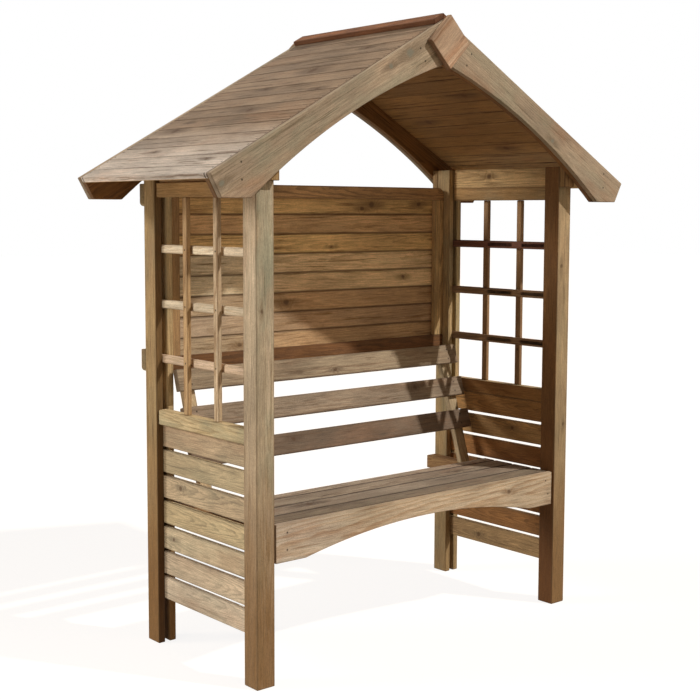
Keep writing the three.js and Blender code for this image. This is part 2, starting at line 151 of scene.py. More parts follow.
def treated_pine(name, centre, grain, across, half, early, late, pith=(0.01, -0.035), rings=0.0042,
                 lean=(0.0, 0.02), knots=(), green=0.0, warm=0.25, damp=0.0, contrast=0.5, boards=None,
                 knot_colour=(84, 58, 36), rough=0.8, fresh=(), mossy=None, worn=None, groove=0.0,
                 streaks=0.8, nails=()):
    """Sawn pine: growth rings round a pith that runs along the grain, knots, streaks, stains, fibres.
    Places on the timber are (along the grain, across the face, out of the face), in metres.
    Early and late are the two colours of a ring, and contrast is how strongly the late one shows.
    Knots are (along, across, size), and nails the flush heads of the fixings, as (along, across).
    Green and warm are the strengths of the stains, and damp is how much browner the wood turns towards the
    bottom. Mossy is the (axis, side) that turns green.
    Fresh faces, given as (axis, side, colour), are those that the weather doesn't reach, and their colour
    is also painted shade on inner faces and painted light under the roof.
    A slow change of tone is given as (axis, start, finish, factors at the start, factors at the finish),
    and the colour is multiplied by factors that change slowly between the two; on the back boards it is
    painted light.
    Boards is (first joint, cover), where one piece stands for many, and groove is painted shade in the
    joints."""
    material = bpy.data.materials.new(name)
    material.use_nodes = True
    tree = material.node_tree
    tree.nodes.clear()
    grain, across = Vector(grain).normalized(), Vector(across).normalized()
    turn = Matrix((grain, across, grain.cross(across))).transposed().to_euler()
    object_place = tree.nodes.new("ShaderNodeTexCoord").outputs["Object"]
    feeds = [("Vector", object_place), ("Location", tuple(centre)), ("Rotation", tuple(turn))]
    place = wire(tree, "ShaderNodeMapping", feeds, vector_type="TEXTURE")
    parts = wire(tree, "ShaderNodeSeparateXYZ", [(0, place)]).node.outputs
    offset = Vector([chance.uniform(-9, 9) for _ in range(3)])
    local = place
    if boards:
        first, cover = boards
        count = figure(tree, "DIVIDE", figure(tree, "SUBTRACT", parts[1], first), cover)
        count = figure(tree, "FLOOR", count)
        mid = figure(tree, "MULTIPLY_ADD", count, cover, first + cover / 2)
        draw = wire(tree, "ShaderNodeTexWhiteNoise", [("W", figure(tree, "ADD", count, offset.x))],
                    noise_dimensions="1D").node.outputs
        scatter = vector(tree, "MULTIPLY_ADD", draw["Color"], (2.2, 0.03, 0.03), (0, -0.015, -0.015))
        feeds = [(0, parts[0]), (1, figure(tree, "SUBTRACT", parts[1], mid)), (2, parts[2])]
        own = wire(tree, "ShaderNodeCombineXYZ", feeds)
        local = vector(tree, "ADD", own, scatter)

    # No line in wood is straight, so each place is swayed a little before the rings are read there.
    def drawn_out(along, move):
        return vector(tree, "MULTIPLY_ADD", local, (along, 1, 1), tuple(move))

    def nudged(spot, noise, reach):
        """Shifts a place by up to half the reach each way."""
        back = tuple(-value / 2 for value in reach)
        shift = vector(tree, "MULTIPLY_ADD", noise.node.outputs["Color"], reach, back)
        return vector(tree, "ADD", shift, spot)

    swayed = nudged(local, mottle(tree, drawn_out(0.2, offset), 13.0), (0, 0.018, 0.018))
    swayed = nudged(swayed, mottle(tree, drawn_out(0.3, -offset), 85.0), (0, 0.004, 0.004))
    run = vector(tree, "SCALE", (0, lean[0], lean[1]))
    tree.links.new(wire(tree, "ShaderNodeSeparateXYZ", [(0, local)]), run.node.inputs["Scale"])
    from_pith = vector(tree, "MULTIPLY_ADD", swayed, (0, 1, 1), (0, -pith[0], -pith[1]))
    radius = vector(tree, "LENGTH", vector(tree, "SUBTRACT", from_pith, run)).node.outputs["Value"]

    # Knots push the rings aside. Heart is the distance from the nearest in its own size, and tail is
    # the same drawn out along the grain.
    wood = vector(tree, "SUBTRACT", vector(tree, "ADD", swayed, place), local)
    lumps = mottle(tree, vector(tree, "MULTIPLY_ADD", place, (0.6, 1, 1), tuple(offset)), 70.0)
    wood = nudged(wood, lumps, (0.012, 0.008, 0))

    def from_knot(along, side, stretch):
        flat = vector(tree, "MULTIPLY", wood, (stretch, 1, 0))
        return vector(tree, "DISTANCE", flat, (stretch * along, side, 0)).node.outputs["Value"]

    beyond_all = 1000.0
    heart = tail = beyond_all
    for along, side, size in knots:
        apart = from_knot(along, side, 0.8)
        radius = figure(tree, "ADD", radius, ramp(tree, apart, 0.0, 3.4 * size, 1.5 * size, 0.0))
        heart = figure(tree, "MINIMUM", heart, figure(tree, "DIVIDE", apart, size))
        tail = figure(tree, "MINIMUM", tail, figure(tree, "DIVIDE", from_knot(along, side, 0.26), size))

    # The rings, and the noises that the colours and the relief share.
    phase = figure(tree, "FRACT", figure(tree, "DIVIDE", radius, rings))
    line = figure(tree, "MULTIPLY", ramp(tree, phase, 0.3, 0.85), ramp(tree, phase, 1.0, 0.9))
    strength = ramp(tree, mottle(tree, drawn_out(0.25, offset), 9.0), 0.3, 0.6, 0.45, 1.25)
    line = figure(tree, "MULTIPLY", line, figure(tree, "MULTIPLY", strength, contrast))
    flame = mottle(tree, drawn_out(0.045, -offset), 95.0, 5.0, 0.68)
    fibre = mottle(tree, drawn_out(0.035, offset), 480.0, 4.0, 0.75)
    speck = mottle(tree, vector(tree, "MULTIPLY", local, (0.5, 1, 1)), 420.0, 2.0, 0.7)
    cloud = mottle(tree, drawn_out(0.35, -offset), 8.5, 4.0, 0.6)
    broad = mottle(tree, drawn_out(0.5, offset), 7.0, 3.0, 0.6)
    spread = vector(tree, "MULTIPLY_ADD", place, (0.4, 1, 1), (offset.z, offset.x, 0))
    stain = mottle(tree, spread, 12.0, 4.0, 0.65)

    # Colours, from the wood itself up to stains, knots, what the weather has done and painted light and
    # shade.
    colour = tint(tree, line, paint(*early), paint(*late))
    if boards:
        lively = tint(tree, draw["Value"], (0.86, 0.84, 0.82, 1), (1.1, 1.1, 1.1, 1))
        colour = tint(tree, 1.0, colour, lively, "MULTIPLY")
    colour = tint(tree, ramp(tree, flame, 0.54, 0.68, 0.0, streaks), colour, darker(late, 0.86))
    colour = tint(tree, ramp(tree, flame, 0.46, 0.3, 0.0, 0.55), colour, darker(early, 1.14))
    colour = tint(tree, 1.0, colour, ramp(tree, broad, 0.32, 0.68, 0.8, 1.16), "MULTIPLY")
    colour = tint(tree, ramp(tree, cloud, 0.48, 0.7, 0.0, warm), colour, paint(160, 116, 84))
    if green:
        share = ramp(tree, stain, 0.42, 0.7, 0.12 * green, green)
        if mossy:
            axis, side = mossy
            outward = figure(tree, "MULTIPLY", parts[axis], float(side))
            shown = ramp(tree, outward, half[axis] - 0.004, half[axis] - 0.001)
            share = figure(tree, "MULTIPLY", share, shown)
        colour = tint(tree, share, colour, paint(140, 143, 117))
    # Browner towards the bottom.
    if damp:
        height = wire(tree, "ShaderNodeSeparateXYZ", [(0, object_place)]).node.outputs[2]
        height = figure(tree, "MULTIPLY_ADD", cloud, 0.5, height)
        colour = tint(tree, ramp(tree, height, 1.1, 0.35, 0.0, damp), colour, paint(130, 94, 52))
    # A slow change of colour along one axis; on the back boards it is painted light.
    if worn:
        axis, start, finish, worn_start, worn_finish = worn
        fade = ramp(tree, parts[axis], start, finish)
        fade = tint(tree, fade, worn_start + (1.0,), worn_finish + (1.0,))
        colour = tint(tree, 1.0, colour, fade, "MULTIPLY")
    bright = figure(tree, "MULTIPLY_ADD", fibre, 1.7, 0.15)
    bright = figure(tree, "MULTIPLY", bright, figure(tree, "MULTIPLY_ADD", speck, 0.9, 0.55))
    bright = figure(tree, "MULTIPLY", bright, ramp(tree, speck, 0.6, 0.74, 1.0, 0.7))
    bright = wire(tree, "ShaderNodeCombineColor", [(0, bright), (1, bright), (2, bright)])
    colour = tint(tree, 1.0, colour, bright, "MULTIPLY")
    if knots:
        colour = tint(tree, ramp(tree, tail, 2.4, 0.7, 0.0, 0.6), colour, darker(late, 0.78))
        whorl = figure(tree, "FRACT", figure(tree, "MULTIPLY", heart, 3.0))
        whorl = ramp(tree, whorl, 0.2, 0.9, 0.7, 1.0)
        core = figure(tree, "MULTIPLY", ramp(tree, heart, 1.4, 0.5), whorl)
        colour = tint(tree, figure(tree, "MULTIPLY", core, 0.85), colour, paint(*knot_colour))
    # Faces out of the weather, with painted shade on inner faces and painted light under the roof.
    for axis, side, wash in fresh:
        outward = figure(tree, "MULTIPLY", parts[axis], float(side))
        share = ramp(tree, outward, half[axis] - 0.0035, half[axis] - 0.0008)
        colour = tint(tree, share, colour, tint(tree, 1.0, colour, paint(*wash), "MULTIPLY"))
    # Painted shade in the joints between the boards of one piece.
    if boards:
        aside = figure(tree, "ABSOLUTE", figure(tree, "SUBTRACT", parts[1], mid))
        joint = ramp(tree, aside, cover / 2 - 0.0042, cover / 2 - 0.0015)
        colour = tint(tree, figure(tree, "MULTIPLY", joint, groove), colour, darker(late, 0.42))

    # Grime along the edges, darker end grain and the heads of nails.
    reach = vector(tree, "SUBTRACT", vector(tree, "ABSOLUTE", place), tuple(half))
    near_edge = wire(tree, "ShaderNodeSeparateXYZ", [(0, reach)]).node.outputs
    corner = figure(tree, "ADD", near_edge[1], near_edge[2])
    grime = ramp(tree, stain, 0.3, 0.6, 0.2, 0.45)
    arris = figure(tree, "MULTIPLY", ramp(tree, corner, -0.006, -0.001), grime)
    colour = tint(tree, arris, colour, darker(late, 0.74))
    # Painted shade along the long edges, where a board meets the next.
    if groove and not boards:
        joint = ramp(tree, near_edge[1], -0.0055, -0.0015)
        colour = tint(tree, figure(tree, "MULTIPLY", joint, groove), colour, darker(late, 0.42))
    end_cut = ramp(tree, near_edge[0], -0.0035, -0.0002)
    colour = tint(tree, figure(tree, "MULTIPLY", end_cut, 0.55), colour, darker(late, 0.72))

    for along, side in nails:
        flat = vector(tree, "MULTIPLY", own if boards else place, (1, 1, 0))
        head = vector(tree, "DISTANCE", flat, (along, side, 0))
        share = ramp(tree, head.node.outputs["Value"], 0.0036, 0.0024, 0.0, 0.85)
        colour = tint(tree, share, colour, paint(58, 46, 34))

    # Fibres and rings stand a little proud, and the gloss varies with the streaks.
    height = figure(tree, "MULTIPLY_ADD", fibre, 0.9, figure(tree, "MULTIPLY", line, 0.5))
    height = figure(tree, "MULTIPLY_ADD", speck, 0.6, height)
    relief = wire(tree, "ShaderNodeBump", [("Height", height), ("Strength", 0.6), ("Distance", 0.0011)])
    shine = figure(tree, "MULTIPLY_ADD", flame, 0.24, rough - 0.12)
    feeds = [("Base Color", colour), ("Roughness", shine), ("Normal", relief), ("Specular IOR Level", 0.3)]
    coat = wire(tree, "ShaderNodeBsdfPrincipled", feeds)
    wire(tree, "ShaderNodeOutputMaterial", [("Surface", coat)])
    return material


def shade(colour, spread=6):
    """The same colour a little lighter or darker, because no two boards match."""
    shift = chance.uniform(-spread, spread)
    return tuple(max(0, min(255, value + shift)) for value in colour)


def give_wood(timber, node, slot, grain, across, half, middle, **looks):
    """Gives a timber its wood and sets it in its CAD node's place."""
    timber.data.materials.append(treated_pine(timber.name, middle, grain, across, half, **looks))
    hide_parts(node)
    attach(timber, "root")


def finish_timber(timber, node, slot, grain, across, span=None, **looks):
    """Gives a timber that is square to the frame its wood. Its span is the CAD node's, if not given."""
    low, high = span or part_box(node)
    size = (high - low) / 2
    out = Vector(grain).cross(Vector(across))
    half = [abs(size.dot(Vector(axis))) for axis in (grain, across, out)]
    give_wood(timber, node, slot, grain, across, half, (low + high) / 2, **looks)


post_easing = 0.003
# Painted shade on the posts' inner faces, on wood that is also less weathered there.
post_wash = (198, 170, 140)
post_looks = {
    "left": dict(early=(192, 171, 141), green=0.6, knots=[(0.31, -0.012, 0.005)],
                 fresh=[(1, 1, post_wash)]),
    "right": dict(early=(182, 154, 114), green=0.25, knots=[(-0.12, 0.008, 0.005), (0.4, -0.01, 0.006)],
                  fresh=[(1, -1, post_wash)]),
}
for hand in ("left", "right"):
    node = f"front_post_{hand}"
    post = sawn_square(f"post_{hand}", *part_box(node))
    ease_edges(post, post_easing)
    finish_timber(post, node, "posts", (0, 0, 1), (1, 0, 0), late=(154, 126, 88), pith=(0.012, -0.06),
                  lean=(0.006, 0.012), mossy=(2, -1), damp=0.85, warm=0.3, **post_looks[hand])

# Rear legs: each is two planed boards on edge with a gap between them, which takes the ends of the
# side slats and of the trellis. Both boards stand on the ground.
leg_easing = 0.0025
for hand in ("left", "right"):
    for board in ("outer", "inner"):
        node = f"rear_leg_{board}_{hand}"
        leg = sawn_square(f"leg_{board}_{hand}", *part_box(node))
        ease_edges(leg, leg_easing)
        looks = {"outer": dict(early=shade((168, 138, 94)), late=(128, 98, 56), green=0.2),
                 "inner": dict(early=shade((198, 166, 116)), late=(148, 114, 68), green=0.35)}[board]
        # The outer right leg is paler than the left one: painted light.
        if (board, hand) == ("outer", "right"):
            looks["early"] = (196, 170, 122)
        if (board, hand) == ("inner", "right"):
            looks["green"] = 0.5
        # The outer left leg's front face is darker: painted shade, on wood that is also less weathered
        # there.
        if (board, hand) == ("outer", "left"):
            looks["fresh"] = [(1, -1, (170, 156, 132))]
        finish_timber(leg, node, "leg_boards", (0, 0, 1), (0, 1, 0), pith=(0.02, 0.03), lean=(0.01, 0.0),
                      damp=1.0 if hand == "left" else 0.45, warm=0.3, **looks)

# Side panels: seven planed slats a side, screwed behind the post and let into the leg's gap, with a
# stouter rail on top of them. Their grain shows wide flat-sawn figure.
slat_easing = 0.0028
rail_easing = 0.004
slat_knots = {
    ("left", 3): [(0.139, 0.0, 0.005)], ("left", 5): [(0.1, -0.01, 0.006)],
    ("right", 1): [(-0.05, 0.004, 0.007)], ("right", 4): [(0.12, 0.01, 0.005)],
    ("right", 6): [(0.1, -0.012, 0.006)],
}
# The left slats are paler the lower they sit: painted light from low on the left.
left_slats = [(220, 198, 168), (206, 182, 150), (206, 184, 148), (196, 172, 130), (196, 170, 134),
              (188, 166, 128), (186, 160, 126)]
# Painted shade on the inner faces of the slats, by slat number, on wood that is also less weathered there.
slat_washes = {1: (255, 250, 240), 2: (220, 186, 148), 6: (255, 236, 204), 7: (238, 212, 172)}
usual_wash = (222, 184, 142)
slat_count = 7
for hand, outward in (("left", (0, 1, 0)), ("right", (0, -1, 0))):
    for number in range(1, slat_count + 1):
        node = f"side_slat_{hand}_{number}"
        slat = sawn_square(f"slat_{hand}_{number}", *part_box(node))
        ease_edges(slat, slat_easing)
        early = shade((190, 158, 116), 9)
        if hand == "left":
            early = left_slats[number - 1]
        wash = slat_washes.get(number, usual_wash)
        finish_timber(slat, node, "side_slats", outward, (0, 0, -1), early=early,
                      late=[value * 0.8 for value in early], pith=(chance.uniform(-0.03, 0.03), -0.03),
                      lean=(chance.uniform(-0.03, 0.03), 0.05), rings=0.0034, contrast=0.75, green=0.2,
                      warm=0.3, knots=slat_knots.get((hand, number), ()), fresh=[(2, -1, wash)],
                      mossy=(2, 1))
    node = f"side_rail_{hand}"
    rail = sawn_square(f"rail_{hand}", *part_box(node))
    ease_edges(rail, rail_easing)
    # Painted shade on the rail's inner face, on wood that is also less weathered there.
    finish_timber(rail, node, "side_rails", outward, (0, 0, -1), early=(190, 166, 124), late=(150, 122, 80),
                  green=0.5, mossy=(2, 1), fresh=[(2, -1, (206, 172, 136))])

# Head rails: a top rail between post and leg, with a thinner roof plate on edge above it. Both are
# sawn softwood, browner than the panels below as painted shade under the roof. The left roof plate
# is darker still, painted shade under the eave, and the right one paler, painted light.
top_rail_height = 0.042
top_rail_thick = 0.032
plate_thick = 0.022
plate_colours = {"left": (176, 140, 98), "right": (214, 178, 124)}
for hand, side in (("left", -1), ("right", 1)):
    node = f"head_rail_{hand}"
    low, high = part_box(node)
    join = low.z + top_rail_height
    inner = min(abs(low.x), abs(high.x))
    for part, thick, foot, head, early, knots in (
            ("top_rail", top_rail_thick, low.z, join, (180, 140, 88), ()),
            ("roof_plate", plate_thick, join, high.z, plate_colours[hand], [(0.05, 0.008, 0.007)])):
        ends = sorted((side * inner, side * (inner + thick)))
        corners = Vector((ends[0], low.y, foot)), Vector((ends[1], high.y, head))
        rail = sawn_square(f"{part}_{hand}", *corners)
        ease_edges(rail, post_easing)
        finish_timber(rail, node, "head_rails", (0, 1, 0), (0, 0, 1), corners, early=early,
                      late=(150, 112, 66), rings=0.006, lean=(0.02, 0.03), contrast=0.55, green=0.25,
                      knots=knots)

# Trellis: three level battens whose ends sit in the leg's gap, and two slimmer upright battens nailed
# over notches in their outer faces. The notches are wider than the uprights, so each shows a dark
# gap on its front side, and the level battens are well rounded between them.
level_count = 3
level_height = 0.025
level_depth = 0.0154
level_rounding = 0.0068
web_depth = 0.008
web_easing = 0.004
notch_gap = 0.008
upright_count = 2
upright_width = 0.022
upright_easing = 0.0025
lap = 0.001
end_clearance = 0.0003
# The right trellis is browner and darker than the left: painted shade inside the arbour, on faces that are
# also less weathered.
level_colours = {"left": [(208, 180, 150), (224, 204, 172), (228, 210, 178)],
                 "right": [(166, 134, 100), (166, 134, 100), (120, 78, 60)]}
upright_colours = {"left": [(212, 186, 150), (186, 152, 108)], "right": [(158, 124, 88)] * 2}
for hand, side in (("left", -1), ("right", 1)):
    node = f"trellis_{hand}"
    low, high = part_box(node)
    inner, outer = sorted((abs(low.x), abs(high.x)))
    level_outer = inner + level_depth
    leg_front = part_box(f"rear_leg_inner_{hand}")[0].y
    post_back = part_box(f"front_post_{hand}")[1].y
    bay = (high.z - low.z + 2 * end_clearance - level_count * level_height) / (level_count + 1)
    run = (leg_front - post_back - upright_count * upright_width) / (upright_count + 1)
    fronts = [post_back + (number + 1) * run + number * upright_width for number in range(upright_count)]
    for number in range(level_count):
        foot = low.z - end_clearance + (number + 1) * bay + number * level_height
        head = foot + level_height
        ends = sorted((side * inner, side * level_outer))
        corners = Vector((ends[0], low.y, foot)), Vector((ends[1], high.y, head))
        web = sorted((side * inner, side * (inner + web_depth)))
        batten = sawn_square(f"trellis_level_{hand}_{number + 1}", (web[0], low.y, foot),
                             (web[1], high.y, head))
        ease_edges(batten, web_easing)
        starts = [low.y] + [front + upright_width for front in fronts]
        stops = [front - notch_gap for front in fronts] + [high.y]
        lengths = []
        for start, stop in zip(starts, stops):
            length = sawn_square("length", (ends[0], start, foot), (ends[1], stop, head))
            ease_edges(length, level_rounding, 5)
            lengths.append(length)
        take_hold(batten)
        for length in lengths:
            length.select_set(True)
        bpy.ops.object.join()
        early, late = level_colours[hand][number], (108, 76, 50)
        if hand == "left":
            early, late = shade(early, 3), (190, 160, 120)
        finish_timber(batten, node, "trellis", (0, 1, 0), (0, 0, 1), corners, early=early, late=late,
                      contrast=0.4, warm=0.2)
    for number, front in enumerate(fronts):
        ends = sorted((side * (level_outer - lap), side * outer))
        corners = Vector((ends[0], front, low.z)), Vector((ends[1], front + upright_width, high.z))
        batten = sawn_square(f"trellis_upright_{hand}_{number + 1}", *corners)
        ease_edges(batten, upright_easing)
        finish_timber(batten, node, "trellis", (0, 0, 1), (0, 1, 0), corners,
                      early=upright_colours[hand][number], late=(150, 112, 68), contrast=0.6,
                      knots=[(-0.19, 0.0, 0.005)] if (hand, number) == ("right", 0) else (),
                      nails=[(crossing * (bay + level_height), 0.0) for crossing in (-1, 0, 1)])

# Back panel: eight matched boards with a V joint on both faces, nailed behind a plain frame of two
# rails and two stiles. The top rail's outer corners are rounded. The lower rail stands close above
# the backrest, so their edges there are barely eased.
low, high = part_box("back_boards")
back_board_count = 8
cover = (high.z - low.z) / back_board_count
joint_cut = 0.0025
joint_easing = 0.0007
edge_band = 0.001
# The upper boards are paler than the lower ones, partly boards that differ and partly painted light.
back_colours = [(196, 160, 116), (192, 156, 116), (194, 156, 112), (232, 198, 148), (236, 202, 152),
                (236, 196, 132), (214, 174, 124), (220, 182, 122)]
back_knots = [[(-0.3, 0.0, 0.007)], [], [(-0.117, 0.0, 0.009)], [(0.394, 0.004, 0.006)], [],
              [(0.07, -0.012, 0.005)], [],
              [(0.248, 0.0, 0.01), (0.204, -0.013, 0.007), (0.467, 0.004, 0.008)]]
# Painted light: the lower five boards are greyer towards their left ends, where the light falls on them.
greyed_boards = 5
for number in range(back_board_count):
    foot = low.z + number * cover
    corners = Vector((low.x, low.y, foot)), Vector((high.x, high.y, foot + cover))
    board = sawn_square(f"back_board_{number + 1}", *corners)
    round_edges(board, joint_cut, 1, lambda middle: abs(middle.x) < edge_band)
    ease_edges(board, joint_easing, 2)
    greyed = (0, -0.45, 0.0, (0.88, 1.02, 1.25), (1, 1, 1)) if number < greyed_boards else None
    finish_timber(board, "back_boards", "back_boards", (1, 0, 0), (0, 0, 1), corners,
                  early=back_colours[number], late=(148, 108, 62),
                  pith=(chance.uniform(-0.025, 0.025), -0.028), lean=(chance.uniform(-0.02, 0.02), 0.02),
                  rings=0.005, contrast=0.32, knots=back_knots[number], worn=greyed, warm=0.2, groove=0.5)
low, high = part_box("back_frame")
member = 0.042
frame_corner = 0.025
frame_easing = 0.003
close_easing = 0.0012
lying, standing = ((1, 0, 0), (0, 0, 1)), ((0, 0, 1), (1, 0, 0))
foot, head = low.z + member, high.z - member
members = {
    "back_rail_upper": (Vector((low.x, low.y, head)), high, lying, (196, 154, 106)),
    "back_rail_lower": (low, Vector((high.x, high.y, foot)), lying, (122, 82, 46)),
    "back_stile_left": (Vector((low.x, low.y, foot)), Vector((low.x + member, high.y, head)), standing,
                        (160, 126, 84)),
    "back_stile_right": (Vector((high.x - member, low.y, foot)), Vector((high.x, high.y, head)), standing,
                         (204, 168, 114)),
}
for name, (start, stop, run, early) in members.items():
    rail = sawn_square(name, start, stop)
    if name == "back_rail_upper":
        round_edges(rail, frame_corner, 8,
                    lambda middle: abs(middle.x) > edge_band and middle.z > high.z - edge_band)
    ease_edges(rail, close_easing if name == "back_rail_lower" else frame_easing)
    finish_timber(rail, "back_frame", "back_frame", *run, (start, stop), early=early,
                  late=[value * 0.72 for value in early], contrast=0.6, warm=0.2)

# Rear rails: two planed rails screwed across the backs of the legs, with their lower corners
# rounded off. They brace the frame and cover the ends of the back panel.
brace_corner = 0.012
brace_easing = 0.003
brace_nails = [(along, across) for along in (-0.614, -0.583, 0.583, 0.614) for across in (-0.018, 0.018)]
for level in ("lower", "upper"):
    node = f"rear_rail_{level}"
    low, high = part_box(node)
    rail = sawn_square(f"brace_{level}", low, high)
    round_edges(rail, brace_corner, 6,
                lambda middle: abs(middle.x) > edge_band and middle.z < low.z + edge_band)
    ease_edges(rail, brace_easing)
    finish_timber(rail, node, "rear_rails", (1, 0, 0), (0, 0, -1), early=(178, 152, 108),
                  late=(140, 108, 66), lean=(0.02, 0.02), green=0.4,
                  knots=[(-0.35, 0.01, 0.009), (0.28, -0.012, 0.008)], nails=brace_nails)

# Seat: two sawn bearers inside the posts and legs, four boards with eased edges and small gaps
# across them, and an arched apron in front. The boards have weathered greyer than the frame.
bearer_easing = 0.003
board_rounding = 0.006
for hand in ("left", "right"):
    node = f"seat_bearer_{hand}"
    bearer = sawn_square(f"bearer_{hand}", *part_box(node))
    ease_edges(bearer, bearer_easing)
    finish_timber(bearer, node, "seat_bearers", (0, 1, 0), (0, 0, 1), early=(172, 134, 88),
                  late=(126, 86, 52), contrast=0.7)
seat_looks = {
    "front": ((146, 129, 106), []), "second": ((168, 150, 128), [(-0.338, 0.01, 0.01)]),
    "third": ((176, 157, 133), [(0.33, -0.012, 0.007)]), "rear": ((180, 160, 136), []),
}
seat_nails = [(along, across) for along in (-0.551, 0.551) for across in (-0.012, 0.012)]
for place_name, (early, knots) in seat_looks.items():
    node = f"seat_board_{place_name}"
    board = sawn_square(f"seat_{place_name}", *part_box(node))
    ease_edges(board, board_rounding, 4)
    finish_timber(board, node, "seat_boards", (1, 0, 0), (0, 1, 0), early=early, late=(112, 88, 68),
                  pith=(chance.uniform(-0.02, 0.02), -0.03), lean=(0.015, 0.012), rings=0.0045, knots=knots,
                  contrast=0.6, warm=0.35, groove=0.85, nails=seat_nails)

low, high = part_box("seat_apron")
straight_end = 0.105
arch_rise = 0.051
arch_half = high.x - straight_end
arch_steps = 16
apron_easing = 0.003
close_by = 0.0001
apron = sawn_square("apron", low, high)
take_hold(apron)
bpy.ops.object.mode_set(mode="EDIT")
bpy.ops.mesh.select_mode(type="FACE")
stations = [arch_half * share / arch_steps for share in range(-arch_steps, arch_steps + 1)]
for station in stations:
    bpy.ops.mesh.select_all(action="SELECT")
    bpy.ops.mesh.bisect(plane_co=(station, 0, 0), plane_no=(1, 0, 0))
bpy.ops.mesh.select_mode(type="VERT")
for station in stations[1:-1]:
    bpy.ops.mesh.select_all(action="DESELECT")
    bpy.ops.object.mode_set(mode="OBJECT")
    for vertex in apron.data.vertices:
        vertex.select = abs(vertex.co.x - station) < close_by and vertex.co.z < low.z + edge_band
    bpy.ops.object.mode_set(mode="EDIT")
    lift = arch_rise * (1 - (station / arch_half) ** 2)
    bpy.ops.transform.translate(value=(0, 0, lift))
bpy.ops.object.mode_set(mode="OBJECT")
ease_edges(apron, apron_easing)
# The apron turns paler and greyer towards its left end.
finish_timber(apron, "seat_apron", "seat_apron", (1, 0, 0), (0, 0, 1), early=(194, 172, 142),
              late=(164, 128, 90), pith=(-0.012, -0.05), lean=(0.02, 0.03), rings=0.008, contrast=0.5,
              warm=0.35, knots=[(0.36, 0.02, 0.006)],
              worn=(0, -0.5, -0.2, (1.08, 1.16, 1.3), (1.0, 1.0, 1.0)),
              nails=[(-0.527, 0.028), (-0.527, -0.02), (0.536, 0.028), (0.548, -0.017)])

# Backrest: two short supports are fixed on the bearers and lean back, with three planed slats
# screwed across their front faces. All of it is softwood, and the lowest slat is the darkest.
lean_back = math.radians(17.5)
up_slope = Vector((0, math.sin(lean_back), math.cos(lean_back)))
facing = Vector((0, -math.cos(lean_back), math.sin(lean_back)))
bearer_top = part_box("seat_bearer_left")[1].z
slat_width = 0.065
slat_pitch = 0.115
slat_thick = 0.02
slat_rounding = 0.0035
first_slat = 0.122
support_thick = 0.021
support_easing = 0.0025
support_drop = 0.008
support_half = (0.21, 0.02, support_thick / 2)
support_middle = 0.2
foot_spare = 0.03
clearance = 0.0003
top_slat_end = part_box("back_slat_3")[1]
half_length = top_slat_end.x
slats_top = first_slat + 2 * slat_pitch + slat_width
foot_y = top_slat_end.y - slats_top * math.sin(lean_back) + clearance * math.cos(lean_back)
foot = Vector((0, foot_y, bearer_top))
rest_colours = [(117, 98, 79), (156, 136, 112), (160, 140, 112)]
rest_knots = [(-0.2, 0.01, 0.006), (0.35, 0.012, 0.008), (0.02, -0.015, 0.006)]
rest_nails = [(along, across) for along in (-0.535, 0.535) for across in (-0.016, 0.016)]


def lean_over(timber):
    """Tips an upright timber back about the front foot of the supports."""
    take_hold(timber)
    bpy.ops.object.mode_set(mode="EDIT")
    bpy.ops.mesh.select_all(action="SELECT")
    bpy.ops.transform.rotate(value=lean_back, orient_axis="X", center_override=foot)
    bpy.ops.object.mode_set(mode="OBJECT")


for hand in ("left", "right"):
    node = f"back_support_{hand}"
    low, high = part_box(node)
    support = sawn_square(f"support_{hand}", (low.x, foot_y, bearer_top - foot_spare),
                          (high.x, foot_y + support_thick, bearer_top + slats_top - support_drop))
    lean_over(support)
    bpy.ops.object.mode_set(mode="EDIT")
    bpy.ops.mesh.select_all(action="SELECT")
    bpy.ops.mesh.bisect(plane_co=(0, 0, bearer_top + clearance), plane_no=(0, 0, 1), use_fill=True,
                        clear_inner=True)
    bpy.ops.object.mode_set(mode="OBJECT")
    ease_edges(support, support_easing)
    middle = foot + up_slope * support_middle - facing * support_thick / 2
    middle.x = (low.x + high.x) / 2
    give_wood(support, node, "backrest", up_slope, (1, 0, 0), support_half, middle,
              early=(194, 168, 130), late=(156, 126, 86), green=0.3, rings=0.005)
for number in range(3):
    node = f"back_slat_{number + 1}"
    bottom = first_slat + number * slat_pitch
    slat_front = foot_y - clearance - slat_thick
    slat = sawn_square(f"rest_slat_{number + 1}", (-half_length, slat_front, bearer_top + bottom),
                       (half_length, foot_y - clearance, bearer_top + bottom + slat_width))
    lean_over(slat)
    ease_edges(slat, close_easing if number == 2 else slat_rounding, 4)
    middle = foot + up_slope * (bottom + slat_width / 2) + facing * (clearance + slat_thick / 2)
    give_wood(slat, node, "backrest", (1, 0, 0), up_slope, (half_length, slat_width / 2, slat_thick / 2),
              middle, early=rest_colours[number], late=(116, 90, 66), pith=(0.012, -0.04),
              lean=(0.012, 0.012), rings=0.006, contrast=0.45, knots=[rest_knots[number]], nails=rest_nails)

# Roof blocks, rafters and gable boards: short blocks pack the rafters out from the frame at both
# gables. The rafters carry the ends of the roof boards, and the gable boards, which are planed and
# knotty, are nailed over them and cut to the same arch.
block_easing = 0.002
for end in ("front", "rear"):
    for hand in ("left", "right"):
        node = f"roof_block_{end}_{hand}"
        block = sawn_square(f"packing_{end}_{hand}", *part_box(node))
        ease_edges(block, block_easing)
        finish_timber(block, node, "roof_blocks", (0, 0, 1), (1, 0, 0), early=(160, 128, 84),
                      late=(122, 90, 54))

